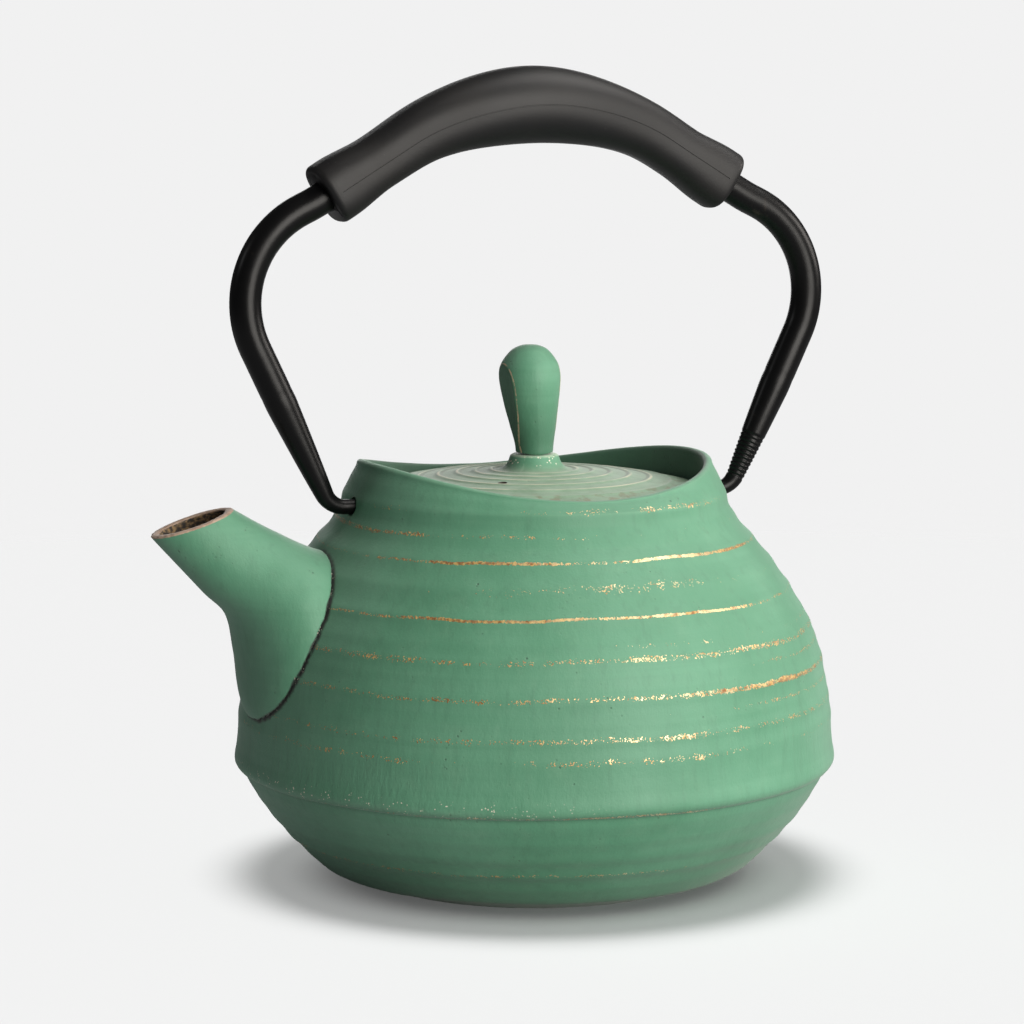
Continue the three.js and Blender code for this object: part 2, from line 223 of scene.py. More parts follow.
# Rings of (x, z, tilt, half height, half width, squareness) across the XZ plane, bridged to a skin.
def loft(name, rings, corners, capped=True):
    deselect()
    bpy.ops.mesh.primitive_circle_add(vertices=corners, radius=1)
    piece = newest(name)
    bpy.ops.object.mode_set(mode="EDIT")
    bpy.ops.mesh.delete(type="VERT")
    bpy.ops.mesh.select_mode(type="EDGE")
    for x, z, tilt, high, wide, square in rings:
        middle = (x * mm, 0, z * mm)
        bpy.ops.mesh.primitive_circle_add(vertices=corners, radius=mm, location=middle)
        if square > 1:
            squareUp(Vector(middle), square)
        bpy.ops.transform.resize(value=(high, wide, 1), center_override=middle)
        bpy.ops.transform.rotate(value=-tilt, orient_axis="Y", center_override=middle)
    for i in range(len(rings) - 1):
        bpy.ops.mesh.select_all(action="DESELECT")
        shape = bmesh.from_edit_mesh(piece.data)
        shape.edges.ensure_lookup_table()
        for edge in shape.edges[i * corners:(i + 2) * corners]:
            edge.select_set(True)
        bpy.ops.mesh.bridge_edge_loops()
    for x, z, tilt, high, wide, square in (rings[0], rings[-1]) if capped else ():
        pickRing(x, z, tilt, 1.1 * max(high, wide))
        bpy.ops.mesh.edge_face_add()
    tidyNormals()
    objectMode()
    return piece


# Bulges the selected circle of radius 1 mm towards a square.
def squareUp(middle, square):
    mesh = bpy.context.object.data
    shape = bmesh.from_edit_mesh(mesh)
    for corner in (c for c in shape.verts if c.select):
        for axis in (0, 1):
            part = (corner.co[axis] - middle[axis]) / mm
            corner.co[axis] = middle[axis] + math.copysign(abs(part) ** (1 / square), part) * mm
    bmesh.update_edit_mesh(mesh)


# The edges of a section of the loft, out to a distance from its middle.
def pickRing(x, z, tilt, reach):
    middle = Vector((x * mm, 0, z * mm))
    along = Vector((math.sin(tilt), 0, math.cos(tilt)))
    pick("EDGE", lambda spot: abs((spot - middle).dot(along)) < 0.01 * mm
         and (spot - middle).length < reach * mm)


# A rod along a line in the XZ plane, between two distances from a point on it.
def rod(name, middle, along, radius, start, end, corners=64):
    deselect()
    tilt = math.atan2(along[0], along[1])
    centre = [middle[i] + along[i] * (start + end) / 2 for i in (0, 1)]
    bpy.ops.mesh.primitive_cylinder_add(
        vertices=corners, radius=radius * mm, depth=(end - start) * mm,
        location=(centre[0] * mm, 0, centre[1] * mm), rotation=(0, tilt, 0))
    return newest(name)


# The last steps of each piece: place in the mesh, shading, finish, body and CAD nodes.
def settle(piece, finish, body, slot, *nodes, smooth=35):
    focus(piece)
    bpy.ops.object.transform_apply(location=True, rotation=True, scale=True)
    bpy.ops.object.shade_smooth_by_angle(angle=math.radians(smooth))
    piece.vertex_groups.clear()
    if finish:
        piece.data.materials.append(finish)
    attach(piece, body)
    if nodes:
        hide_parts(*nodes)
    print("finished", piece.name, len(piece.data.polygons), "faces")
    return piece


def newFinish(name):
    finish = bpy.data.materials.new(name)
    finish.use_nodes = True
    tree = finish.node_tree
    place = addNode(tree, "TexCoord").outputs["Object"]
    return finish, tree, tree.nodes["Principled BSDF"], place


# Values are set on a node's sockets, and outputs of other nodes are linked to them.
def fill(tree, node, inputs):
    for name, value in inputs.items():
        if isinstance(value, bpy.types.NodeSocket):
            tree.links.new(value, node.inputs[name])
        else:
            node.inputs[name].default_value = value


def addNode(tree, kind, inputs=None, **settings):
    node = tree.nodes.new("ShaderNode" + kind)
    for name, value in settings.items():
        setattr(node, name, value)
    fill(tree, node, inputs or {})
    return node


def calc(tree, operation, *values):
    return addNode(tree, "Math", dict(enumerate(values)), operation=operation).outputs[0]


def times(tree, total, *others):
    for other in others:
        total = calc(tree, "MULTIPLY", total, other)
    return total


# 0 below the first value, 1 above the second, and smooth between.
def rise(tree, value, low, high):
    return addNode(tree, "MapRange", {"Value": value, "From Min": low, "From Max": high},
                   interpolation_type="SMOOTHSTEP").outputs["Result"]


# From the first value to the second as the share goes from 0 to 1.
def between(tree, share, low, high):
    return addNode(tree, "MapRange", {"Value": share, "To Min": low, "To Max": high}).outputs[0]


def blend(tree, share, first, second):
    mix = addNode(tree, "Mix", data_type="RGBA")
    fill(tree, mix, {0: share, 6: first, 7: second})
    return mix.outputs[2]


# A coat over what is there, as strong as the product of its shares.
def coat(tree, under, over, *shares):
    return blend(tree, times(tree, *shares), under, over)


def noise(tree, place, scale, detail=3, roughness=0.5, stretch=None):
    if stretch:
        place = addNode(tree, "Mapping", {"Vector": place, "Scale": stretch}).outputs[0]
    return addNode(tree, "TexNoise", {"Vector": place, "Scale": scale, "Detail": detail,
                                      "Roughness": roughness}).outputs["Fac"]


def cells(tree, place, scale):
    return addNode(tree, "TexVoronoi", {"Vector": place, "Scale": scale},
                   feature="F1").outputs["Distance"]


def speckle(tree, place, scale, low, high):
    return rise(tree, noise(tree, place, scale, 3, 0.6), low, high)


# Small round dots, kept only where broader noise is above a level.
def dots(tree, place, scale, level):
    return times(tree, rise(tree, cells(tree, place, scale), 0.32, 0.22),
                 speckle(tree, place, scale / 3, level, level + 0.04))


def nearness(tree, name, low, high):
    return rise(tree, addNode(tree, "Attribute", attribute_name=name).outputs["Fac"], low, high)


# How far a place is from an upright line, which is the Z axis if no other is given.
def fromAxis(tree, axes, x=0, y=0):
    flat = addNode(tree, "CombineXYZ", {"X": axes[0], "Y": axes[1]}).outputs[0]
    return addNode(tree, "VectorMath", {0: flat, 1: (x * mm, y * mm, 0)},
                   operation="DISTANCE").outputs["Value"]


def bumps(tree, layers):
    normal = None
    for height, depth in layers:
        inputs = {"Height": height, "Strength": 1, "Distance": depth * mm}
        if normal:
            inputs["Normal"] = normal
        normal = addNode(tree, "Bump", inputs).outputs[0]
    return normal


def colour(red, green, blue):
    def linear(part):
        part /= 255
        return part / 12.92 if part <= 0.04045 else ((part + 0.055) / 1.055) ** 2.4
    return linear(red), linear(green), linear(blue), 1


greenIron = {
    "green": colour(90, 147, 117),
    "deepGreen": colour(77, 136, 105),
    "paleGreen": colour(128, 166, 138),
    # dark green for pits and streaks, and for painted shade
    "darkPitAndShade": colour(34, 62, 48),
    # painted shade for the inner wall of the collar
    "collar": colour(28, 54, 40),
    "seam": colour(20, 34, 26),
    # pale gold for the painted highlight on the lit side
    "paleGoldHighlight": colour(244, 226, 178),
    "gold": colour(216, 176, 104),
    "oldGold": colour(150, 100, 54),
    "chip": colour(222, 216, 196),
    "chips": (1500, 0.54),
    "roughness": (0.53, 0.69),
    "specular": 0.6,
    # each noise: scale, detail, roughness and stretch
    "noises": {"broad": (28, 4, 0.55), "mottle": (160, 5, 0.65),
               "streaks": (420, 3, 0.6, (1, 1, 0.12)), "bands": (700, 2, 0.5, (0.01, 0.01, 1)),
               "cast": (420, 4, 0.6, (1, 1, 0.45)), "grain": (1500, 3, 0.7)},
    "brush": (900, 2, 0.5, (1, 1, 0.3)),
    # how deep each one reads, in mm
    "depths": {"cast": 0.10, "grain": 0.05, "pits": 0.10, "gold": 0.04, "brush": 0.03},
    # at turns about the Z axis, in degrees from the front: how pale the gold, a painted highlight on
    # the side towards the lights, and how brushed
    "goldHighlightByTurn": [(-180, 0.1), (-40, 0.05), (-12, 0.5), (-2, 0.9), (18, 0.8), (32, 0.2), (60, 0)],
    "brushed": [(-180, 0.3), (-90, 1), (-50, 1), (-10, 0.2), (60, 0.1)],
    "fleck": 2300,
    "clump": 330,
    "threshold": 0.85,
}

# Each gold line: height, half width in mm, and how dense it is at turns about the Z axis.
goldLines = [
    (96.4, 1.5, [(-180, .35), (-90, .35), (-70, .45), (-40, .2), (-16, .5), (-3, .56), (5, .35),
                 (13, .62), (35, .62), (60, .3)]),
    (90.8, 1.1, [(-180, .4), (-88, .7), (-56, .7), (-50, .4), (-42, .56), (-18, .55), (0, .3),
                 (40, .35), (120, .4)]),
    (85.3, 0.7, [(-180, .7), (-70, .5), (-62, .7), (-52, .7), (-46, .97), (-18, .97), (-12, .62),
                 (0, .7), (6, .98), (40, .98), (56, .6)]),
    (79.6, 2.4, [(-180, .3), (-60, .2), (-28, .42), (-14, .48), (-8, .55), (17, .55), (24, .35),
                 (70, .3)]),
    (73.3, 0.7, [(-180, .75), (-80, .6), (-48, .74), (-42, .97), (-14, .97), (-9, .74), (-2, .98),
                 (22, .97), (34, .66), (64, .55), (90, .5)]),
    (67, 1.2, [(-180, 0), (-12, .1), (-4, .48), (12, .48), (24, .3), (60, .5), (80, .5)]),
    (64.15, 1.6, [(-180, .4), (-68, .6), (-36, .58), (-22, .52), (-16, .6), (3, .63), (10, .68),
                  (34, .66), (50, .62), (75, .55)]),
    (60.6, 1.1, [(-180, .1), (0, .1), (22, .35), (36, .58), (60, .58)]),
    (55.7, 1.4, [(-180, .6), (-70, .55), (-40, .55), (-28, .6), (8, .66), (18, .88), (42, .88),
                 (50, .7), (66, .6)]),
    (51.5, 1.0, [(-180, .1), (0, .2), (26, .57), (60, .62)]),
    (46.45, 1.7, [(-180, .4), (-70, .54), (-36, .52), (-24, .54), (-16, .62), (6, .66), (16, .58),
                  (40, .6), (66, .56)]),
    (41.5, 1.8, [(-180, .3), (-70, .54), (-45, .5), (-30, .3), (-18, .57), (8, .58), (14, .48),
                 (40, .48), (60, .4)]),
    (28.5, 0.7, [(-180, .3), (-62, .5), (-48, .5), (-20, .55), (-14, .72), (10, .74), (16, .4),
                 (60, .4)]),
    (12.2, 1.0, [(-180, .4), (-80, .58), (-46, .56), (-26, .6), (-8, .6), (10, .4), (50, .3)]),
]


# A grey ramp over whole turns: pairs of degrees from the front and value.
def aroundTurn(tree, angle, spread):
    ramp = addNode(tree, "ValToRGB", {"Fac": angle})
    stops = ramp.color_ramp.elements
    for stop, (degrees, value) in enumerate([*spread, (180, spread[0][1])]):
        if stop >= len(stops):
            stops.new(1)
        stops[stop].position = (degrees + 180) / 360
        stops[stop].color = (value, value, value, 1)
    return ramp.outputs["Color"]


# How much gold the lines ask for at a place, before it breaks up into flecks.
def goldCover(tree, height, angle, lines):
    total = 0
    for middle, width, spread in lines:
        off = calc(tree, "ABSOLUTE", calc(tree, "SUBTRACT", height, middle * mm))
        line = rise(tree, calc(tree, "DIVIDE", off, width * mm), 1, 0.15)
        share = times(tree, line, aroundTurn(tree, angle, spread))
        total = calc(tree, "MAXIMUM", total, share)
    return total


# How much gold shows, its tone with a painted highlight towards the lights, and the brush strokes in
# the paint above the flange.
def wearToGold(tree, place, axes, lines):
    x, y, z = axes
    turned = calc(tree, "ARCTAN2", x, times(tree, y, -1))
    angle = calc(tree, "ADD", calc(tree, "DIVIDE", turned, 2 * math.pi), 0.5)
    wander = calc(tree, "SUBTRACT", noise(tree, place, 35), 0.5)
    level = calc(tree, "ADD", z, times(tree, wander, 2 * mm))
    broken = calc(tree, "ADD", times(tree, noise(tree, place, greenIron["clump"], 1), 0.32),
                  times(tree, noise(tree, place, greenIron["fleck"], 1), 0.68))
    broken = calc(tree, "ADD", broken, times(tree, goldCover(tree, level, angle, lines), 0.5))
    metal = rise(tree, broken, greenIron["threshold"], greenIron["threshold"] + 0.03)
    tone = blend(tree, rise(tree, noise(tree, place, 1200, 2), 0.4, 0.65),
                 greenIron["oldGold"], greenIron["gold"])
    # painted highlight: the gold is paler on the side that faces the lights
    tone = coat(tree, tone, greenIron["paleGoldHighlight"], aroundTurn(tree, angle, greenIron["goldHighlightByTurn"]),
                rise(tree, noise(tree, place, 500, 2), 0.3, 0.6))
    strokes = times(tree, rise(tree, noise(tree, place, *greenIron["brush"]), 0.62, 0.42),
                    aroundTurn(tree, angle, greenIron["brushed"]),
                    rise(tree, z, 48 * mm, 34 * mm), rise(tree, z, 20 * mm, 30 * mm))
    return metal, tone, strokes


# Green paint on cast iron: lighter on crests, dark in pits, painted shade where the surface curves
# inward, and worn through to gold in lines that carry a painted highlight on the side towards the
# lights.
def makeGreenIron(name, lines=(), extra=None, crests=0.45):
    finish, tree, shader, place = newFinish(name)
    axes = addNode(tree, "SeparateXYZ", {"Vector": place}).outputs
    look = {part: noise(tree, place, *settings) for part, settings in greenIron["noises"].items()}
    depths = greenIron["depths"]
    pits = times(tree, rise(tree, cells(tree, place, 620), 0.24, 0.08),
                 rise(tree, look["mottle"], 0.56, 0.7))
    curve = addNode(tree, "NewGeometry").outputs["Pointiness"]
    body = blend(tree, rise(tree, look["broad"], 0.35, 0.65), greenIron["deepGreen"],
                 greenIron["green"])
    for over, share, strength in (
            ("paleGreen", rise(tree, look["mottle"], 0.45, 0.8), 0.14),
            ("deepGreen", rise(tree, look["bands"], 0.4, 0.7), 0.3),
            ("darkPitAndShade", rise(tree, look["streaks"], 0.5, 0.75), 0.12),
            ("paleGreen", rise(tree, curve, 0.51, 0.56), crests),
            # painted shade: darker where the surface curves inward
            ("darkPitAndShade", rise(tree, curve, 0.495, 0.45), 0.4),
            ("darkPitAndShade", pits, 0.6)):
        body = coat(tree, body, greenIron[over], share, strength)
    layers = [(look["cast"], depths["cast"]), (look["grain"], depths["grain"]),
              (times(tree, pits, -1), depths["pits"])]
    low, high = greenIron["roughness"]
    roughness = calc(tree, "ADD", low, times(tree, look["mottle"], high - low))
    if lines:
        metal, tone, strokes = wearToGold(tree, place, axes, lines)
        body = blend(tree, metal, body, tone)
        roughness = between(tree, metal, roughness, 0.4)
        layers += [(metal, depths["gold"]), (strokes, depths["brush"])]
        fill(tree, shader, {"Metallic": times(tree, metal, 0.35)})
    if extra:
        body = extra(tree, place, axes, body)
    fill(tree, shader, {"Base Color": body, "Roughness": roughness, "Sheen Weight": 0.2,
                        "Sheen Roughness": 0.5, "Specular IOR Level": greenIron["specular"],
                        "Normal": bumps(tree, layers)})
    return finish


# The pot has painted shade inside its collar, is darker along the spout, and has paint chipped off its
# edges.
def wearAndShadePot(tree, place, axes, body):
    x, y, z = axes
    # painted shade on the collar's inner wall and ledges
    body = coat(tree, body, greenIron["collar"], rise(tree, z, 93 * mm, 94.5 * mm),
                rise(tree, fromAxis(tree, axes), 43 * mm, 42.4 * mm), 0.72)
    body = coat(tree, body, greenIron["seam"], nearness(tree, "seam", 0.3, 0.75),
                speckle(tree, place, 400, 0.25, 0.5))
    flange = times(tree, rise(tree, z, 28 * mm, 28.6 * mm), rise(tree, z, 33 * mm, 31 * mm),
                   rise(tree, x, 0, -50 * mm))
    edges = calc(tree, "MAXIMUM", flange, nearness(tree, "seam", 0.5, 0.8))
    return coat(tree, body, greenIron["chip"], edges, dots(tree, place, *greenIron["chips"]))


# The spout is bare at its mouth, brown and gold inside with painted shade deeper in, and darker where
# it meets the pot.
def wearAndShadeSpout(tree, place, axes, body):
    body = coat(tree, body, greenIron["seam"], nearness(tree, "seam", 0.48, 0.72),
                speckle(tree, place, 400, 0.22, 0.42))
    body = coat(tree, body, greenIron["chip"], nearness(tree, "seam", 0.5, 0.8),
                dots(tree, place, *greenIron["chips"]))
    patinaAndShade = blend(tree, speckle(tree, place, 900, 0.4, 0.65), colour(40, 34, 26),
                   colour(150, 122, 82))
    # painted shade: near black deeper inside the spout
    patinaAndShade = blend(tree, nearness(tree, "deep", 0.1, 0.6), patinaAndShade, colour(16, 14, 12))
    body = blend(tree, nearness(tree, "inside", 0.4, 0.6), body, patinaAndShade)
    bare = blend(tree, speckle(tree, place, 350, 0.35, 0.65), colour(182, 156, 136),
                 colour(144, 118, 98))
    return blend(tree, nearness(tree, "mouth", 0.35, 0.65), body, bare)


# The lid is dusty and worn pale on its rings, with painted shade beside each ring and in the vent
# hole, a brown edge and a chipped boss.
def wearAndShadeLid(tree, place, axes, body):
    z = axes[2]
    radius = fromAxis(tree, axes)
    top = rise(tree, z, 96.5 * mm, 97.3 * mm)
    dust = blend(tree, speckle(tree, place, 200, 0.3, 0.7), colour(126, 146, 122),
                 colour(148, 168, 146))
    body = coat(tree, body, dust, top, rise(tree, radius, 6 * mm, 9 * mm), 0.65)
    worn = speckle(tree, place, 90, 0.35, 0.6)
    for ring in lidShape["rings"]:
        off = calc(tree, "SUBTRACT", radius, ring * mm)
        ringShade = calc(tree, "ABSOLUTE", calc(tree, "ADD", off, 0.85 * mm))
        crest = rise(tree, calc(tree, "ABSOLUTE", off), 0.5 * mm, 0.12 * mm)
        # painted shade on the inner side of each ring
        body = coat(tree, body, colour(72, 78, 58), rise(tree, ringShade, 0.6 * mm, 0.2 * mm), 0.5)
        body = coat(tree, body, colour(206, 202, 176), crest, worn, 0.8)
    body = coat(tree, body, colour(112, 92, 62), rise(tree, radius, 29 * mm, 38 * mm),
                speckle(tree, place, 320, 0.5, 0.66), top, 0.6)
    boss = times(tree, rise(tree, radius, 7.2 * mm, 6.6 * mm),
                 rise(tree, z, 101.8 * mm, 103 * mm))
    body = coat(tree, body, greenIron["chip"], boss, dots(tree, place, 1300, 0.52))
    body = coat(tree, body, colour(190, 205, 180), rise(tree, z, 104.9 * mm, 105.3 * mm),
                speckle(tree, place, 600, 0.3, 0.5), 0.5)
    # painted shade inside the vent hole
    vent = lidShape["vent"]
    away = fromAxis(tree, axes, vent["x"], vent["y"])
    return blend(tree, rise(tree, away, 1.35 * mm, 1.1 * mm), body, colour(52, 38, 30))


# The knob's flats and foot are darker as painted shade, and its paint is rubbed off along the edges of
# the flats.
def wearAndShadeKnob(tree, place, axes, body):
    # painted shade on the flats
    body = coat(tree, body, greenIron["darkPitAndShade"], nearness(tree, "flat", 0.4, 0.9), 0.35)
    # painted shade: darker towards the foot of the knob
    body = coat(tree, body, colour(44, 92, 68), rise(tree, axes[2], 123 * mm, 108 * mm), 0.62)
    return coat(tree, body, colour(206, 176, 142), nearness(tree, "edge", 0.3, 0.8),
                speckle(tree, place, 500, 0.35, 0.55))


innerEnamel = {"coat": colour(40, 36, 34), "rust": colour(84, 58, 40), "roughness": (0.3, 0.6)}


def makeInsideCoat():
    finish, tree, shader, place = newFinish("insideEnamel")
    mottle = noise(tree, place, 120, 5, 0.6)
    fill(tree, shader, {
        "Base Color": blend(tree, rise(tree, mottle, 0.55, 0.8), innerEnamel["coat"],
                            innerEnamel["rust"]),
        "Roughness": between(tree, mottle, *innerEnamel["roughness"]),
        "Normal": bumps(tree, [(noise(tree, place, 500, 4), 0.12)])})
    return finish


steelPaint = {"paint": colour(9, 9, 10), "worn": colour(40, 35, 31), "roughness": (0.24, 0.42),
              "specular": 0.22}


def makeBlackSteel():
    finish, tree, shader, place = newFinish("blackSteelPaint")
    mottle = noise(tree, place, 90, 5, 0.6)
    scratches = noise(tree, place, 240, 3, 0.6, (1, 1, 0.1))
    fill(tree, shader, {
        "Base Color": coat(tree, steelPaint["paint"], steelPaint["worn"],
                           rise(tree, mottle, 0.58, 0.72), rise(tree, scratches, 0.55, 0.7)),
        "Roughness": between(tree, mottle, *steelPaint["roughness"]),
        "Specular IOR Level": steelPaint["specular"],
        "Normal": bumps(tree, [(noise(tree, place, 700, 3), 0.015), (mottle, 0.05)])})
    return finish


siliconeSkin = {"dark": colour(14, 14, 16), "light": colour(21, 20, 20),
                "dust": colour(150, 146, 142), "roughness": (0.46, 0.58), "specular": 0.4}


def makeSilicone():
    finish, tree, shader, place = newFinish("blackSilicone")
    mottle = noise(tree, place, 60, 4, 0.55)
    tone = blend(tree, rise(tree, mottle, 0.35, 0.7), siliconeSkin["dark"], siliconeSkin["light"])
    dust = rise(tree, noise(tree, place, 1400, 2, 0.7), 0.74, 0.8)
    fill(tree, shader, {
        "Base Color": coat(tree, tone, siliconeSkin["dust"], dust, 0.35),
        "Roughness": between(tree, mottle, *siliconeSkin["roughness"]),
        "Specular IOR Level": siliconeSkin["specular"],
        "Normal": bumps(tree, [(noise(tree, place, 2200, 2, 0.7), 0.02),
                               (noise(tree, place, 260, 2), 0.03)])})
    return finish


# Bare steel: its tone, with brush lines as fine as the stretch makes them.
def makeStainless(name, stretch=(1, 1, 0.06), tone=(186, 188, 190)):
    finish, tree, shader, place = newFinish(name)
    lines = noise(tree, place, 900, 3, 0.6, stretch)
    stain = rise(tree, noise(tree, place, 70, 4), 0.5, 0.8)
    fill(tree, shader, {"Base Color": blend(tree, stain, colour(*tone), colour(150, 142, 128)),
                        "Metallic": 1, "Roughness": between(tree, lines, 0.2, 0.42),
                        "Normal": bumps(tree, [(lines, 0.01)])})
    return finish


potShape = {
    "steps": 360,
    "rows": 196,
    "cast": (26, 0.5),  # grain and depth of the uneven surface
    "lower": [(42, 0), (46, 1.3), (50, 2.6), (54, 4.2), (60.3, 10.4), (66, 16.4), (69.3, 21.4),
              (71.7, 25.2), (72.7, 27.4)],
    "upper": [(73, 28), (74.2, 28.6), (75, 29.7), (75, 31.4), (74.5, 34.4), (74, 41.4), (72.9, 48.4),
              (71.3, 56.4), (68.4, 64.4), (63.9, 72.4), (58.2, 80.4), (53.1, 86.4), (49.2, 91.4),
              (47.5, 96.4), (45.9, 100.4), (44.6, 103), (44.2, 104.1)],
    "rim": {"middle": (43.1, 104.1), "radius": 1.1},
    "wave": {"foot": 96, "crest": 105.2, "dip": 98.6},
    "ledges": [(42, 95.2), (38.8, 95.2), (38.8, 93.9), (35, 93.9), (35, 89.6)],
    "hollow": [(35, 89.6), (45.5, 87.2), (50.4, 83.6), (60.7, 70.8), (68.1, 55.6), (70.6, 41),
               (71.2, 31), (69, 26.6), (63, 18.4), (57.3, 12.4), (51, 6.2), (44, 3.6), (0, 3.6)],
    # height, size and half width of each ridge left by the lathe
    "ridges": [(96.4, 0.17, 1.4), (93.4, -0.11, 1.2), (90.8, 0.2, 1.1), (88.2, -0.12, 1.1),
               (85.3, 0.25, 1.2), (82.4, -0.12, 1.6), (79.6, 0.18, 1.3), (76.4, -0.09, 1.6),
               (73.3, 0.25, 1.2), (70.4, -0.1, 1.8), (67.4, 0.07, 1.4), (64.1, 0.22, 1.3),
               (60.6, 0.08, 1.1), (55.7, 0.23, 1.4), (52.4, -0.08, 1.6), (49.9, 0.07, 1.1),
               (46.4, 0.19, 1.3), (41.5, 0.14, 1.4), (37.4, -0.06, 1.8), (21.4, 0.15, 1.2),
               (18.4, -0.09, 1.3), (14.8, -0.12, 1.1), (12.2, 0.23, 1.0), (8, 0.12, 1.2)],
    "socket": {"radius": 2.35, "start": 43.5, "end": 53, "height": 94.5},
}
spoutShape = {
    "root": (-68.4, 63.6),
    "axis": (-0.908, 0.42),
    "spigot": 12.6,
    "bore": 10.4,
    "walls": (2.9, 2.1),
    "channelFrom": 0.36,
    "gap": 0.35,
    # top (x, z), underside (x, z) and half width of each station from root to mouth
    "stations": [(-48, 80, -68.5, 36, 22.8), (-55, 83.7, -75, 45.2, 21.7),
                 (-58.4, 84.9, -77, 58, 19.6), (-62, 86.4, -79.6, 68.8, 16),
                 (-67.2, 89.1, -85.6, 75, 12.4), (-73.1, 92.3, -92.3, 82.2, 9.9),
                 (-79, 95.8, -99, 89.6, 8)],
    "steps": 8,
    "corners": 96,
    "cast": (18, 0.35),
    "voxel": 0.42,
}


def sampleRidges(height):
    return sum(size * math.exp(-((height - middle) / width) ** 2)
               for middle, size, width in potShape["ridges"])


# The outside of the pot from the base to the rim, grown by a distance, with or without ridges.
def potOutside(grown=0, ridged=True, rows=None):
    plain = evenly([*curveThrough(potShape["lower"], 12), *curveThrough(potShape["upper"], 12)],
                   rows or potShape["rows"])
    line = []
    for i, (radius, height) in enumerate(plain):
        near, far = plain[max(i - 1, 0)], plain[min(i + 1, len(plain) - 1)]
        along = (far - near) / np.linalg.norm(far - near)
        out = grown + (sampleRidges(height) if ridged and height < 100 else 0)
        line.append((radius + along[1] * out, height - along[0] * out))
    if ridged:
        line[0] = potShape["lower"][0]
    return line


def makePot():
    rim = potShape["rim"]
    wave = potShape["wave"]
    mouth = potShape["ledges"][0][0]
    inner = [(mouth, rim["middle"][1] - i * 0.9) for i in range(1, 10)]
    outline = [(0, 0), (20, 0), (36, 0), *potOutside(),
               *arc(rim["middle"], rim["radius"], 18, 180, 8), *inner,
               *potShape["ledges"], *evenly(curveThrough(potShape["hollow"], 6)[1:], 40)]
    pot = turn("potBody", outline, potShape["steps"])

    def dipAt(spot):
        sideways = spot.y ** 2 / max(spot.x ** 2 + spot.y ** 2, 1e-9)
        outer = offAxis(spot) > mouth - 1
        return sideways * (spot.z / mm - wave["foot"]) / (wave["crest"] - wave["foot"]) * outer

    weigh(pot, "rimWave", dipAt)
    applyModifier(pot, "DISPLACE", direction="Z", mid_level=0, vertex_group="rimWave",
                  strength=(wave["dip"] - wave["crest"]) * mm)
    weigh(pot, "outside", lambda spot: spot.z > 1.5 * mm and offAxis(spot) > mouth - 0.5)
    roughen(pot, *potShape["cast"], "outside")
    socket = potShape["socket"]
    for side in (-1, 1):
        cutWith(pot, rod("socketCut", (0, socket["height"]), (side, 0), socket["radius"],
                         socket["start"], socket["end"], 40))
    cutWith(pot, rod("spoutCut", spoutShape["root"], spoutShape["axis"],
                     spoutShape["spigot"] + 0.3, -12, 4))
    print("pot turned and cut")
    return pot


# Spout sections from a share of its length to the mouth, thinned by a wall.
def spoutRings(start=0, walls=(0, 0)):
    stations = curveThrough(spoutShape["stations"], spoutShape["steps"])
    stations = stations[int(start * (len(stations) - 1)):]
    rings = []
    for i, (topX, topZ, lowX, lowZ, half) in enumerate(stations):
        wall = walls[0] + (walls[1] - walls[0]) * i / (len(stations) - 1)
        tilt = math.atan2(lowZ - topZ, topX - lowX)
        high = math.hypot(topX - lowX, topZ - lowZ) / 2
        rings.append(((topX + lowX) / 2, (topZ + lowZ) / 2, tilt, high - wall, half - wall, 1))
    return rings


# The channel leaves the pot round, takes the spout's section and runs out past the mouth.
def channelRings():
    root, axis, bore = spoutShape["root"], spoutShape["axis"], spoutShape["bore"]
    boreTilt = math.atan2(axis[0], axis[1])
    rings = [(root[0] + axis[0] * d, root[1] + axis[1] * d, boreTilt, bore, bore, 1)
             for d in (-14, -10, -6, -2)]
    inside = spoutRings(spoutShape["channelFrom"], spoutShape["walls"])
    start = np.array([root[0], root[1], boreTilt, bore, bore, 1])
    for i, ring in enumerate(inside):
        share = smoothStep(i / len(inside), 0, 0.35)
        rings.append(tuple(start + (np.array(ring) - start) * share))
    x, z, tilt, high, wide, square = rings[-1]
    rings.append((x - 1, z + 3, tilt, high, wide, square))
    return rings


def makeSpout():
    spout = loft("spoutBody", spoutRings(), spoutShape["corners"])
    cutWith(spout, turn("potEnvelope", [(0, -0.4), *potOutside(spoutShape["gap"], False, 110),
                                        (40, 105), (0, 105)], 200))
    root, axis = spoutShape["root"], spoutShape["axis"]
    cutWith(spout, rod("spigot", root, axis, spoutShape["spigot"], -4, 3), "UNION")
    cutWith(spout, loft("channel", channelRings(), 72))
    applyModifier(spout, "REMESH", mode="VOXEL", voxel_size=spoutShape["voxel"] * mm)
    applyModifier(spout, "SMOOTH", factor=0.5, iterations=8)
    roughen(spout, *spoutShape["cast"])
    print("spout lofted and cut")
    return spout


# Gives a second finish to the faces whose middle passes the test.
def coatInside(piece, outside, inside, test):
    piece.data.materials.append(outside)
    piece.data.materials.append(inside)
    for face in piece.data.polygons:
        if test(face.center):
            face.material_index = 1


def inPotHollow(spot):
    hollow = potShape["hollow"]
    level = spot.z / mm
    wall = np.interp(level, [z for r, z in hollow[::-1]], [r for r, z in hollow[::-1]])
    return 3 < level < 93.8 and offAxis(spot) < wall + 0.7


# How far out past the spout's mouth a place is, in mm.
def pastMouth(spot):
    topX, topZ, lowX, lowZ, half = spoutShape["stations"][-1]
    run = Vector((topX - lowX, 0, topZ - lowZ)).normalized()
    return Vector((-run.z, 0, run.x)).dot(spot / mm - Vector((topX, 0, topZ)))


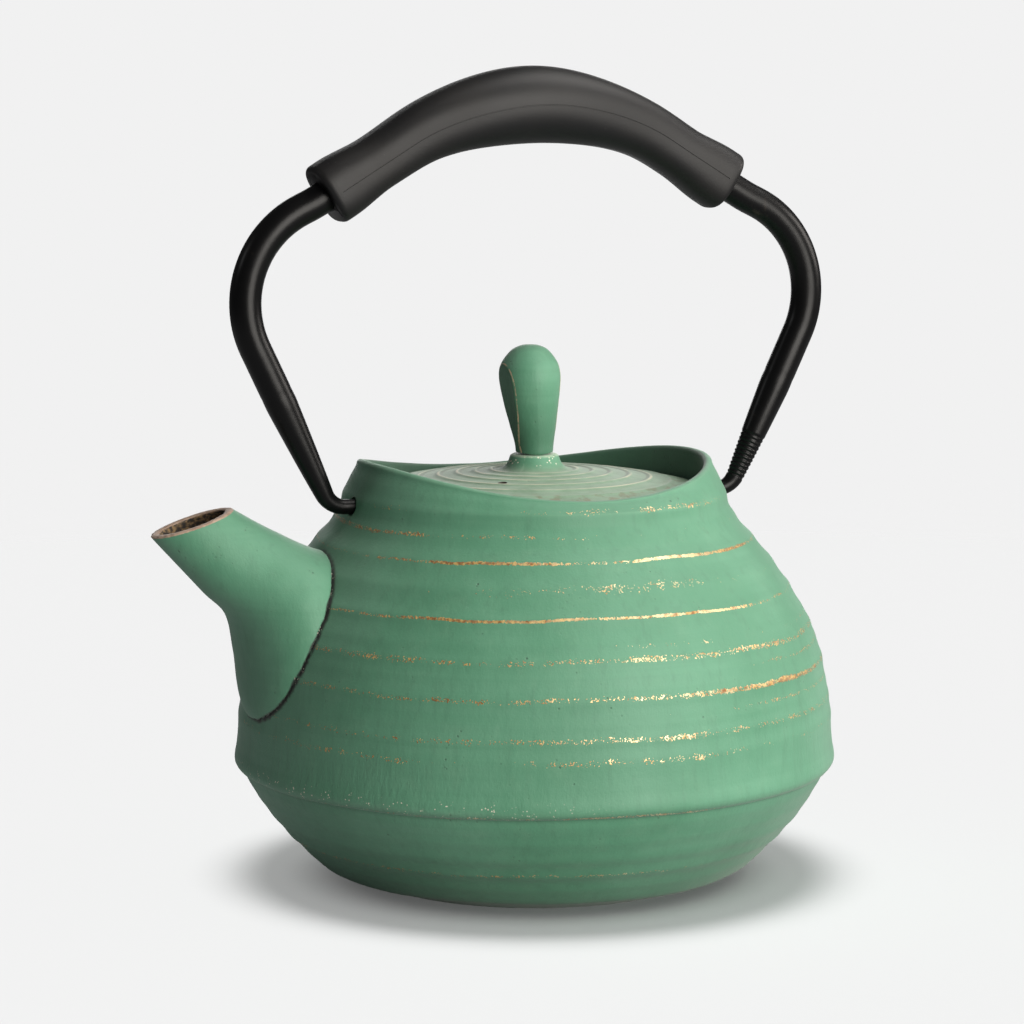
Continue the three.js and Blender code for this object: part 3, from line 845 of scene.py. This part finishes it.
# 1 on the wall of the spout's channel, where the skin faces the channel's middle.
def insideSpout():
    rings = channelRings()

    def share(corner):
        x, y, z = corner.co / mm
        midX, midZ, tilt, high, wide, square = min(
            rings, key=lambda ring: (ring[0] - x) ** 2 + (ring[1] - z) ** 2)
        up = (z - midZ) * math.sin(tilt) - (x - midX) * math.cos(tilt)
        reach = math.hypot(up / high, y / wide)
        inward = Vector((midX - x, -y, midZ - z)).normalized().dot(corner.normal)
        return smoothStep(inward, 0.1, 0.5) * (1 - smoothStep(reach, 1.15, 1.3))

    return share


pot = makePot()
spout = makeSpout()
markNearness(pot, "seam", spout, 1.8)
markNearness(spout, "seam", pot, 1.8)
markPlaces(spout, "inside", insideSpout())
# how far in from the spout's mouth, for painted shade deeper inside
markPlaces(spout, "deep", lambda corner: smoothStep(-pastMouth(corner.co), 2.5, 7.5))
markPlaces(spout, "mouth", lambda corner: smoothStep(pastMouth(corner.co), -0.75, -0.35))
insideCoat = makeInsideCoat()
coatInside(pot, makeGreenIron("greenIronPot", goldLines, wearAndShadePot), insideCoat, inPotHollow)
settle(pot, None, "pot", "green_iron", "pot_body")
settle(spout, makeGreenIron("greenIronSpout", extra=wearAndShadeSpout, crests=0), "pot", "green_iron", "spout")


infuserShape = {
    "steps": 180,
    "rim": [(33.7, 88), (34.3, 88), (34.3, 89.6), (34.42, 90.1), (34.3, 90.6), (34.3, 93.8),
            (34.45, 94.1), (34.75, 94.2), (38.2, 94.2), (38.45, 94.32), (38.5, 94.5),
            (38.45, 94.68), (38.2, 94.8), (34.6, 94.8), (34.1, 94.66), (33.82, 94.38), (33.7, 94)],
    "hem": [(31.5, 53.9), (31.6, 53.68), (31.8, 53.6), (33.4, 53.6), (33.95, 53.75), (34.2, 54.1),
            (34.3, 54.6), (34.3, 58.2), (34.2, 58.42), (34, 58.5), (33.8, 58.42), (33.7, 58.2),
            (33.7, 54.6), (33.55, 54.3), (33.2, 54.2), (31.8, 54.2), (31.6, 54.12)],
    "wall": {"radius": 33.15, "bottom": 55.45, "top": 92.35, "columns": 180, "rows": 32},
    "base": {"radius": 32.6, "height": 54.75, "pitch": 1.16},
    "wire": 0.3,
}


# Leaves a strut along every edge of the mesh, in place of its faces.
def weave(piece):
    applyModifier(piece, "WIREFRAME", thickness=infuserShape["wire"] * mm, use_boundary=True,
                  use_even_offset=False)
    return piece


def makeInfuserWall():
    wall = infuserShape["wall"]
    middle = (0, 0, (wall["bottom"] + wall["top"]) / 2 * mm)
    deselect()
    bpy.ops.mesh.primitive_cylinder_add(
        vertices=wall["columns"], radius=wall["radius"] * mm, end_fill_type="NOTHING",
        depth=(wall["top"] - wall["bottom"]) * mm, location=middle)
    sleeve = newest("infuserWallMesh")
    editMode(sleeve)
    pick("EDGE", lambda spot: abs(spot.z) < 1e-6)
    bpy.ops.mesh.subdivide_edgering(number_cuts=wall["rows"] - 1, interpolation="LINEAR")
    objectMode()
    return weave(sleeve)


def makeInfuserBase():
    base = infuserShape["base"]
    cells = math.ceil(2 * base["radius"] / base["pitch"])
    deselect()
    bpy.ops.mesh.primitive_grid_add(x_subdivisions=cells, y_subdivisions=cells,
                                    size=cells * base["pitch"] * mm,
                                    location=(0, 0, base["height"] * mm))
    floor = newest("infuserBaseMesh")
    editMode(floor)
    pick("FACE", lambda spot: offAxis(spot) > base["radius"])
    bpy.ops.mesh.delete(type="FACE")
    objectMode()
    return weave(floor)


fastenerShape = {
    "stud": {"root": 1.66, "radius": 2, "bottom": 93.4, "top": 115, "pitch": 0.7, "steps": 20},
    "washer": [(2.3, 98), (2.45, 97.9), (4.4, 97.9), (4.6, 98.1), (4.6, 98.5), (4.4, 98.7),
               (2.45, 98.7), (2.3, 98.6)],
    "nut": {"acrossFlats": 7, "bottom": 94.4, "top": 97.6, "hole": 2.3, "chamfer": 0.45},
}


def makeStud():
    stud = fastenerShape["stud"]
    low = stud["bottom"] - 2 * stud["pitch"]
    thread = drawOutline("studThread", [(stud["root"], low),
                                        (stud["radius"], low + stud["pitch"] / 2),
                                        (stud["root"], low + stud["pitch"])])
    objectMode()
    turns = math.ceil((stud["top"] - low) / stud["pitch"]) + 2
    applyModifier(thread, "SCREW", screw_offset=stud["pitch"] * mm, iterations=turns, axis="Z",
                  steps=stud["steps"], render_steps=stud["steps"], angle=2 * math.pi,
                  use_merge_vertices=True, merge_threshold=0.01 * mm)
    editMode(thread)
    tidyNormals()
    for height, side in ((stud["bottom"], -1), (stud["top"], 1)):
        bpy.ops.mesh.select_all(action="SELECT")
        bpy.ops.mesh.bisect(plane_co=(0, 0, height * mm), plane_no=(0, 0, side), use_fill=True,
                            clear_outer=True)
    tidyNormals()
    objectMode()
    return thread


def makeNut():
    nut = fastenerShape["nut"]
    across = nut["acrossFlats"] / math.sqrt(3)
    cut, low, high, flat = nut["chamfer"], nut["bottom"], nut["top"], nut["acrossFlats"] / 2
    hexagon = rod("knobNutHexagon", (0, 0), (0, 1), across, low, high, 6)
    cutWith(hexagon, turn("nutChamfer", [(0, low), (flat, low), (across + 0.1, low + cut),
                                         (across + 0.1, high - cut), (flat, high), (0, high)], 64),
            "INTERSECT")
    cutWith(hexagon, turn("nutHole", [(0, low - 1), (nut["hole"], low - 1), (nut["hole"], low + 0.1),
                                      (nut["hole"], high + 1), (0, high + 1)], 40))
    return hexagon


stainless = makeStainless("stainlessSheet")
meshSteel = makeStainless("stainlessMesh", (1, 1, 1), (170, 172, 174))
fastenerSteel = makeStainless("fastenerSteel", (1, 1, 0.3), (178, 176, 170))
for name, part, node in (("infuserRimRing", "rim", "infuser_rim"),
                         ("infuserHemRing", "hem", "infuser_hem")):
    ring = turn(name, infuserShape[part], infuserShape["steps"], closed=True)
    settle(ring, stainless, "infuser", "stainless_sheet", node)
settle(makeInfuserWall(), meshSteel, "infuser", "stainless_mesh", "infuser_wall")
settle(makeInfuserBase(), meshSteel, "infuser", "stainless_mesh", "infuser_base")
settle(makeStud(), fastenerSteel, "lid", "fastener_steel", "knob_stud")
settle(turn("knobWasherDisc", fastenerShape["washer"], 64, closed=True), fastenerSteel,
       "lid", "fastener_steel", "knob_washer")
settle(makeNut(), fastenerSteel, "lid", "fastener_steel", "knob_nut")
print("infuser and fasteners made")


lidShape = {
    "radius": 41.1,
    "top": 102.2,
    "fall": 4.4,
    "rings": [29.05, 24, 19.3, 14.9, 10.8],
    "edgeRing": 34.2,
    "ringSize": 0.32,
    "ringWidth": 0.75,
    "steps": 300,
    "cast": (16, 0.22),
    "vent": {"radius": 1.1, "x": -14.9, "y": -16.2},
}


def lidFace(radius):
    height = lidShape["top"] - lidShape["fall"] * (radius / lidShape["radius"]) ** 2
    for ring in (*lidShape["rings"], lidShape["edgeRing"]):
        height += lidShape["ringSize"] * math.exp(-((radius - ring) / lidShape["ringWidth"]) ** 2)
    return height - lidShape["ringSize"]


def makeLid():
    edge = lidShape["radius"]
    face = [(r, lidFace(r)) for r in np.linspace(edge - 0.9, 9.6, 110)]
    bossTop = 105.5
    outline = [(2.3, 99), (23, 97.7), (29.4, 96.7), (29.4, 88.9), (29.8, 88.5), (31.4, 88.5),
               (32.2, 89.3), (32.2, 95.9), (38, 95.5), (edge - 0.4, 95.5), (edge, 95.9),
               (edge, 96.9), *arc((edge - 0.9, lidFace(edge - 0.9) - 0.9), 0.9, 0, 75, 5), *face,
               (8.8, 101.8), (8, 102.1), (7.3, 102.6), (6.8, 103.2), (6.4, 104), (6.15, 104.8),
               (5.95, 105.2), (5.5, bossTop), (3.6, bossTop), (2.3, bossTop)]
    lid = turn("lidPlate", outline, lidShape["steps"], closed=True)
    vent = lidShape["vent"]
    hole = rod("ventCut", (vent["x"], 100), (0, 1), vent["radius"], -8, 8, 24)
    hole.location.y = vent["y"] * mm
    cutWith(lid, hole)
    roughen(lid, *lidShape["cast"])
    print("lid turned")
    return lid


knobShape = {
    "outline": [(4.65, 105.9), (4.9, 108.5), (6.1, 114), (7.1, 119), (7.85, 124), (7.1, 128),
                (4.7, 131.3), (2.4, 132.55), (0.8, 132.8), (0, 132.8)],
    "keel": {"turn": -9, "spread": 58, "size": 0.5, "fade": (126.5, 131)},
    "lean": -1.3,
    "leanBetween": (105.9, 124),
    # where each flat crosses the XZ plane at the neck and at the head: x, z, x, z
    "flats": [(-4.6, 107, -7.7, 124), (4.7, 107, 5.3, 124)],
    "hole": {"foot": 105, "radius": 2.3, "reach": (-1, 10.3)},
    "cast": (7, 0.25),
    "voxel": 0.24,
}


# A point on each flat of the knob, in mm, and the way the flat faces.
def knobFlats():
    for neckX, neckZ, headX, headZ in knobShape["flats"]:
        facing = Vector((headZ - neckZ, 0, neckX - headX)).normalized()
        yield Vector((neckX, 0, neckZ)), facing * math.copysign(1, neckX)


# How deep under the nearest flat a corner is, in mm: near 0 on the flat itself.
def underFlat(corner):
    return min((place - corner.co / mm).dot(facing) for place, facing in knobFlats())


# 1 along the keel down the knob's front, falling away on both sides and at the crown.
def nearKeel(spot):
    keel = knobShape["keel"]
    lean = knobShape["lean"] * smoothStep(spot.z / mm, *knobShape["leanBetween"]) * mm
    turned = math.degrees(math.atan2(spot.x - lean, -spot.y))
    share = max(1 - abs(turned - keel["turn"]) / keel["spread"], 0)
    return share * (1 - smoothStep(spot.z / mm, *keel["fade"]))


def makeKnob():
    line = evenly(curveThrough(knobShape["outline"], 10), 48)
    knob = turn("knobDrop", [(0, line[0][1]), *line], 72)
    weigh(knob, "lean", lambda spot: smoothStep(spot.z / mm, *knobShape["leanBetween"]))
    applyModifier(knob, "DISPLACE", direction="X", mid_level=0, vertex_group="lean",
                  strength=knobShape["lean"] * mm)
    editMode(knob)
    for place, facing in knobFlats():
        bpy.ops.mesh.select_all(action="SELECT")
        bpy.ops.mesh.bisect(plane_co=place * mm, plane_no=facing, use_fill=True, clear_outer=True)
    objectMode()
    hole = knobShape["hole"]
    cutWith(knob, rod("studHole", (0, hole["foot"]), (0, 1), hole["radius"], *hole["reach"], 32))
    applyModifier(knob, "REMESH", mode="VOXEL", voxel_size=knobShape["voxel"] * mm)
    applyModifier(knob, "SMOOTH", factor=0.5, iterations=3)
    weigh(knob, "keel", nearKeel)
    applyModifier(knob, "DISPLACE", mid_level=0, vertex_group="keel",
                  strength=knobShape["keel"]["size"] * mm)
    markPlaces(knob, "edge", lambda corner: smoothStep(underFlat(corner), 0.06, 0.12)
               * (1 - smoothStep(underFlat(corner), 0.24, 0.34)))
    markPlaces(knob, "flat", lambda corner: 1 - smoothStep(underFlat(corner), 0.05, 0.15))
    roughen(knob, *knobShape["cast"])
    print("knob shaped")
    return knob


lid = makeLid()
coatInside(lid, makeGreenIron("greenIronLid", extra=wearAndShadeLid), insideCoat,
           lambda spot: spot.z < 97.85 * mm and offAxis(spot) < 39.5
           and spot.z / mm < lidFace(offAxis(spot)) - 0.8)
settle(lid, None, "lid", "green_iron", "lid")
knob = makeKnob()
settle(knob, makeGreenIron("greenIronKnob", extra=wearAndShadeKnob, crests=0), "lid", "green_iron", "knob")


bailShape = {
    "pivot": 94.5,
    "radius": 3.9,
    "hookRadius": 1.85,
    "hookBend": 6,
    "elbowBend": 24.9,
    "bendX": 49.8,
    "elbowHeight": 144.4,
    "taperTop": 120,
    "swell": 0.75,
    "tipX": 43.9,
    "slope": 26,
    "crown": [(55.3, 169.6), (41, 178.3), (28.2, 185.7), (14.5, 190.1), (0, 191.8)],
    "corners": 40,
    "ribs": {"from": 97.2, "to": 108.2, "pitch": 1.0, "size": 0.2},
    "step": {"height": 122.5, "width": 0.35, "depth": 0.12},
}


# The line under the grip, from its right end over the top to its left end.
def crownLine(steps, *beyond):
    right = [*beyond, *bailShape["crown"]]
    return curveThrough([*right, *((-x, z) for x, z in right[-2::-1])], steps)


# The bail's centre line on the right, from the hook's tip to the top, in (x, z).
def bailLine():
    b = bailShape
    hook = (b["bendX"], b["pivot"] + b["hookBend"])
    elbow = (b["bendX"], b["elbowHeight"])
    lean = math.degrees(math.asin((b["elbowBend"] - b["hookBend"]) / (elbow[1] - hook[1])))
    lower = arc(hook, b["hookBend"], -90, -lean, 50)
    upper = arc(elbow, b["elbowBend"], -lean, 90 - b["slope"], 40)
    crown = [spot for spot in crownLine(10, upper[-1]) if spot[0] > -1e-6]
    shares = [*np.linspace(0, 0.2, 60)[1:], *np.linspace(0.2, 0.5, 50)[1:],
              *np.linspace(0.5, 1, 24)[1:-1]]
    leg = [(lower[-1][0] + (upper[0][0] - lower[-1][0]) * share,
            lower[-1][1] + (upper[0][1] - lower[-1][1]) * share) for share in shares]
    return [(b["tipX"], b["pivot"]), (46, b["pivot"]), (48, b["pivot"]), *lower, *leg, *upper,
            *crown[1:]]


def bailRadius(height, side):
    b = bailShape
    risen = min(max((height - b["pivot"]) / (b["taperTop"] - b["pivot"]), 0), 1)
    radius = b["hookRadius"] + (b["radius"] - b["hookRadius"]) * risen ** b["swell"]
    ribs = b["ribs"]
    if side > 0 and ribs["from"] < height < ribs["to"]:
        turns = (height - ribs["from"]) / ribs["pitch"]
        radius -= ribs["size"] * (0.5 - 0.5 * math.cos(2 * math.pi * turns))
    step = b["step"]
    return radius - step["depth"] * math.exp(-((height - step["height"]) / step["width"]) ** 2)


# Rings across a line: its direction at each point gives the tilt.
def ringsAlong(line, size):
    rings = []
    for i, (x, z) in enumerate(line):
        near, far = line[max(i - 1, 0)], line[min(i + 1, len(line) - 1)]
        tilt = math.atan2(far[0] - near[0], far[1] - near[1])
        high, wide, square, lift = size(x, z)
        rings.append((x - math.cos(tilt) * lift, z + math.sin(tilt) * lift, tilt, high, wide, square))
    return rings


def makeBail():
    right = bailLine()
    left = [(-x, z) for x, z in right]
    line = [*left, *right[-2::-1]]
    rings = ringsAlong(line, lambda x, z: (bailRadius(z, x), bailRadius(z, x), 1, 0))
    return loft("bailTube", rings, bailShape["corners"])


gripShape = {
    "endX": 53.2,
    "slide": -1.5,
    "bore": 4.3,
    "mouth": 5.4,
    "mouthDepth": 4,
    "mouthLift": 1.2,
    "mid": {"thick": 19, "wide": 20, "square": 1.12},
    "waist": {"thick": 13.6, "wide": 15.2, "square": 1.4},
    "endThick": 15.6,
    "waistX": 40,
    "flareX": 50,
    "rounding": 1.5,
    "ends": (0, 0.06, 0.25, 0.55, 0.95, 1.5),
    "corners": 96,
    "rows": 100,
    "seam": {"width": 0.16, "inset": 0.04, "depth": 0.22, "stop": 6},
}


def gripSize(x, z):
    g = gripShape
    reach = abs(x - g["slide"])
    fullness = math.cos(math.pi / 2 * min(reach / g["waistX"], 1)) ** 2
    flare = smoothStep(reach, g["waistX"], g["flareX"]) * (g["endThick"] - g["waist"]["thick"])
    mid, waist = g["mid"], g["waist"]
    thick, wide, square = (waist[part] + (mid[part] - waist[part]) * fullness
                           for part in ("thick", "wide", "square"))
    short = g["rounding"] - min((g["endX"] - reach) * 1.13, g["rounding"])
    cut = g["rounding"] - math.sqrt(g["rounding"] ** 2 - short ** 2)
    return (thick + flare) / 2 - cut, wide / 2 - cut, square, 0


def boreSize(x, z):
    g = gripShape
    flare = 1 - smoothStep(g["endX"] - abs(x - g["slide"]), 0, g["mouthDepth"])
    radius = g["bore"] + (g["mouth"] - g["bore"]) * flare
    return radius, radius, 1, g["mouthLift"] * flare


def makeGrip():
    g, seam = gripShape, gripShape["seam"]
    line = [spot for spot in crownLine(60)[::-1] if abs(spot[0] - g["slide"]) <= g["endX"]]
    line = evenly(line, g["rows"], g["ends"])
    sleeveRings = ringsAlong(line, gripSize)
    sleeve = loft("gripSleeve", sleeveRings, g["corners"], capped=False)
    parting = sleeve.vertex_groups.new(name="parting")
    stop = seam["stop"] * g["corners"]
    along = range(stop, len(sleeve.data.vertices) - stop, g["corners"] // 2)
    parting.add(list(along), 1, "REPLACE")
    bore = loft("gripBore", ringsAlong(line, boreSize), g["corners"], capped=False)
    focus(sleeve)
    bore.select_set(True)
    bpy.ops.object.join()
    editMode(sleeve)
    for x, z, tilt, high, wide, square in (sleeveRings[0], sleeveRings[-1]):
        pickRing(x, z, tilt, g["mid"]["wide"] * 0.7)
        bpy.ops.mesh.bridge_edge_loops()
    tidyNormals()
    bpy.ops.mesh.select_mode(type="VERT")
    bpy.ops.mesh.select_all(action="DESELECT")
    bpy.ops.object.vertex_group_set_active(group="parting")
    bpy.ops.object.vertex_group_select()
    bpy.ops.mesh.select_mode(type="EDGE")
    bpy.ops.mesh.bevel(offset=seam["width"] * mm, segments=1)
    bpy.ops.mesh.select_mode(type="FACE")
    bpy.ops.mesh.inset(thickness=seam["inset"] * mm, depth=-seam["depth"] * mm)
    objectMode()
    return sleeve


blackSteel = makeBlackSteel()
silicone = makeSilicone()
settle(makeBail(), blackSteel, "handle", "black_steel", "handle_bail")
settle(makeGrip(), silicone, "handle", "black_silicone", "handle_grip")
print("handle made")


# The backdrop shows through the floor a little, least under the pot's foot, and takes over further
# away. The floor gives back less light than its tone shows, so the pot's underside stays dark.
stageLook = {
    "size": 8,
    "seenTone": 0.9,
    "lightTone": 0.46,
    "fade": (0.9, 0.35),
    "footprint": (0.066, 0.044),
    "cover": (0.64, 0.9),
    "backdrop": colour(241, 241, 241),
    "ambient": 0.085,
}


def makeStage():
    look = stageLook
    deselect()
    bpy.ops.mesh.primitive_plane_add(size=look["size"], location=(0, 0, 0))
    floor = newest("studioFloor")
    finish, tree, shader, place = newFinish("paleFloor")
    seen = addNode(tree, "LightPath").outputs["Is Camera Ray"]
    tones = [(look[part], look[part], look[part], 1) for part in ("lightTone", "seenTone")]
    distance = addNode(tree, "VectorMath", {0: place}, operation="LENGTH").outputs["Value"]
    cover = between(tree, rise(tree, distance, *look["footprint"]), *look["cover"])
    fill(tree, shader, {"Base Color": blend(tree, seen, *tones), "Roughness": 0.9,
                        "Specular IOR Level": 0.1,
                        "Alpha": times(tree, rise(tree, distance, *look["fade"]), cover)})
    floor.data.materials.append(finish)
    return floor


cameraView = {
    "place": (-0.3350, -0.8291, 0.20425),
    "turn": -22,
    "down": 7.227,
    "lens": 127.17,
    "shift": -0.0218,
}


def addToScene(data):
    item = bpy.data.objects.new(data.name, data)
    bpy.context.scene.collection.objects.link(item)
    return item


def makeCamera():
    data = bpy.data.cameras.new("studioCamera")
    camera = addToScene(data)
    camera.location = cameraView["place"]
    camera.rotation_euler = (math.radians(90 - cameraView["down"]), 0,
                             math.radians(cameraView["turn"]))
    data.sensor_width = 36
    data.lens = cameraView["lens"]
    data.shift_x = cameraView["shift"]
    bpy.context.scene.camera = camera


# place in metres, power in watts, size in metres and colour
softboxes = {
    "keySoftbox": ((0.31, -1.02, 0.34), 14.8, 0.75, (1, 0.96, 0.9)),
    "topSoftbox": ((0.42, -0.1, 0.95), 6.4, 0.6, (1, 0.97, 0.93)),
    "sideSoftbox": ((0.98, -0.2, 0.42), 3.6, 0.4, (1, 0.94, 0.88)),
    "leftStrip": ((-0.9, 0.25, 0.6), 0.35, 0.15, (1, 1, 1)),
    "rearSoftbox": ((0.42, 1.15, 0.22), 5, 0.8, (1, 1, 1)),
}
floorDome = {"strength": 2.92, "angle": 32}


def addLight(name, kind, power):
    data = bpy.data.lights.new(name, kind)
    data.energy = power
    return addToScene(data)


def gather(name, *pieces):
    group = bpy.data.collections.new(name)
    for piece in pieces:
        group.objects.link(piece)
    return group


# The softboxes light only the teapot, and the dome lights only the floor, shaded by the pot.
def makeLights(floor):
    teapot = gather("litTeapot", *(piece for piece in bpy.context.scene.objects
                                   if piece.type == "MESH" and piece != floor))
    for name, (place, power, size, tone) in softboxes.items():
        light = addLight(name, "AREA", power)
        light.data.size = size
        light.data.color = tone
        light.location = place
        aim = Vector((0, 0, 0.09)) - Vector(place)
        light.rotation_euler = aim.to_track_quat("-Z", "Y").to_euler()
        light.light_linking.receiver_collection = teapot
    dome = addLight("floorDome", "SUN", floorDome["strength"])
    dome.data.angle = math.radians(floorDome["angle"])
    dome.light_linking.receiver_collection = gather("litFloor", floor)
    dome.light_linking.blocker_collection = gather("shadeFloor", bpy.data.objects["potBody"])


def makeWorld():
    world = bpy.data.worlds.new("studioWorld")
    bpy.context.scene.world = world
    world.use_nodes = True
    tree = world.node_tree
    seen = addNode(tree, "LightPath").outputs["Is Camera Ray"]
    fill(tree, tree.nodes["Background"], {"Color": stageLook["backdrop"],
                                          "Strength": between(tree, seen, stageLook["ambient"], 1)})


floor = makeStage()
makeCamera()
makeWorld()
makeLights(floor)
bpy.context.scene.view_settings.view_transform = "Standard"
